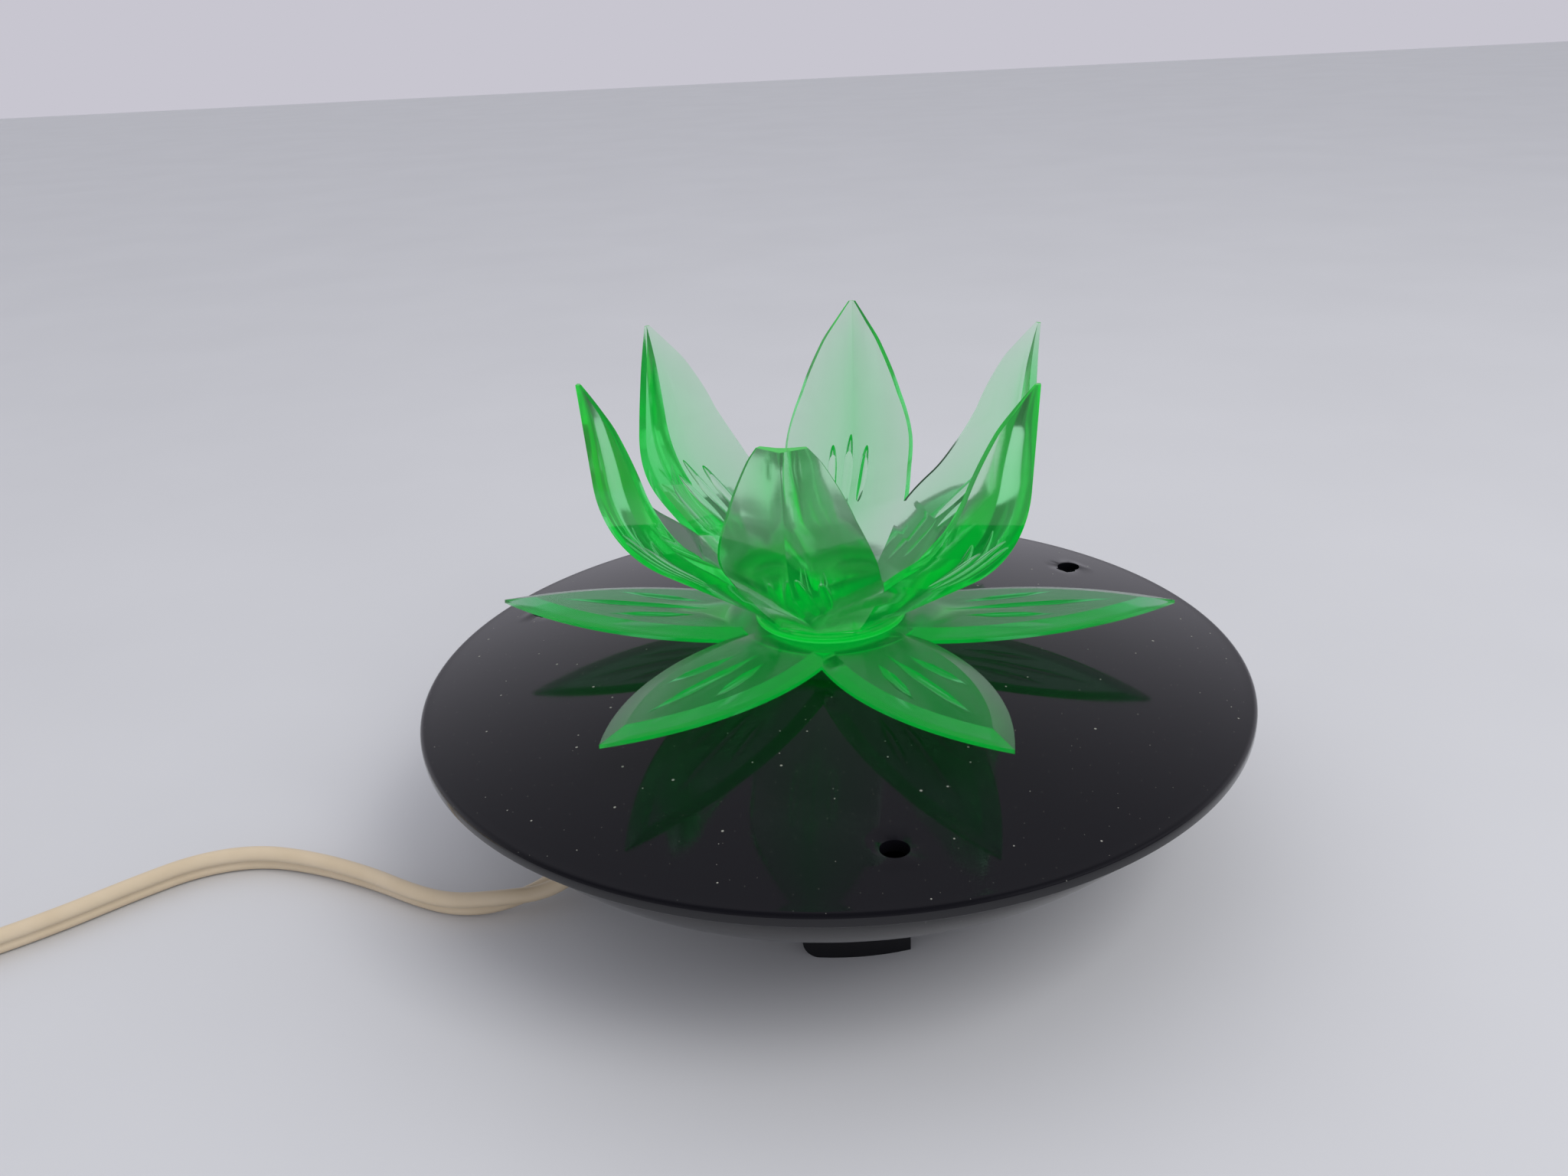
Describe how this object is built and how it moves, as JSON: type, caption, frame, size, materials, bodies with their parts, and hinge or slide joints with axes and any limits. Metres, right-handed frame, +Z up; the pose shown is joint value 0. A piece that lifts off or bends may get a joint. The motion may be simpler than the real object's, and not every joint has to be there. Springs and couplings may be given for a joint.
{
  "type": "night light",
  "caption": "Mains night light: translucent green lotus flower on a domed black disc over a black bowl, with cream flex, inline switch and flat plug.",
  "frame": {"origin": "on the surface that the legs stand on, under the centre of the lid", "axes": "+Z up along the flower's axis; -Y towards the viewer, the side of the front petal; +X to the right"},
  "size_m": [0.4021, 0.202, 0.1001],
  "materials": {
    "black_gloss": "high-gloss moulded black",
    "green_acrylic": "clear green cast acrylic, polished",
    "steel_zinc": "zinc plated",
    "spring_steel": "bright spring steel",
    "white_phenolic": "moulded, satin",
    "nickel_brass": "nickel plated brass",
    "brass": "plain",
    "clear_glass": "clear blown glass",
    "filament_steel": "drawn wire",
    "bulb_black": "vitrite glass, gloss",
    "black_rubber": "matte",
    "black_moulded": "moulded, satin",
    "cream_flex": "aged PVC, slight sheen",
    "cream_moulded": "moulded, soft gloss",
    "cream_rocker": "moulded, soft gloss",
    "core_insulation": "PVC"
  },
  "bodies": {
    "lamp": {"lid": "black_gloss", "base_bowl": "black_gloss", "lid_screws": "steel_zinc", "lower_petals": "green_acrylic", "upper_petals": "green_acrylic", "flower_ring": "spring_steel", "lampholder_body": "white_phenolic", "lampholder_shell": "nickel_brass", "lampholder_contact": "brass", "terminal_screws": "brass", "bulb_glass": "clear_glass", "bulb_stem": "clear_glass", "bulb_filament": "filament_steel", "bulb_cap": "nickel_brass", "bulb_contact": "bulb_black", "holder_strap": "steel_zinc", "strap_screws": "steel_zinc", "cord_grommet": "black_rubber", "cord_inside": "cream_flex", "cord_clamp": "black_moulded", "clamp_screws": "steel_zinc", "cord_cores": "core_insulation", "cord_free": "cream_flex", "switch_bottom": "cream_moulded", "switch_top": "cream_moulded", "switch_terminals": "brass", "switch_screws": "steel_zinc", "cord_lead": "cream_flex", "cord_coil": "cream_flex", "cord_tail": "cream_flex", "plug_body": "cream_moulded", "plug_pins": "nickel_brass"},
    "rocker": {"switch_rocker": "cream_rocker", "switch_bridge": "brass"}
  },
  "joints": [
    {"name": "switch_rocker_hinge", "type": "hinge", "parent": "lamp", "child": "rocker", "pos_m": [-0.221, -0.048, 0.013], "axis": [0, 1, 0], "range_deg": [0, 14]}
  ]
}
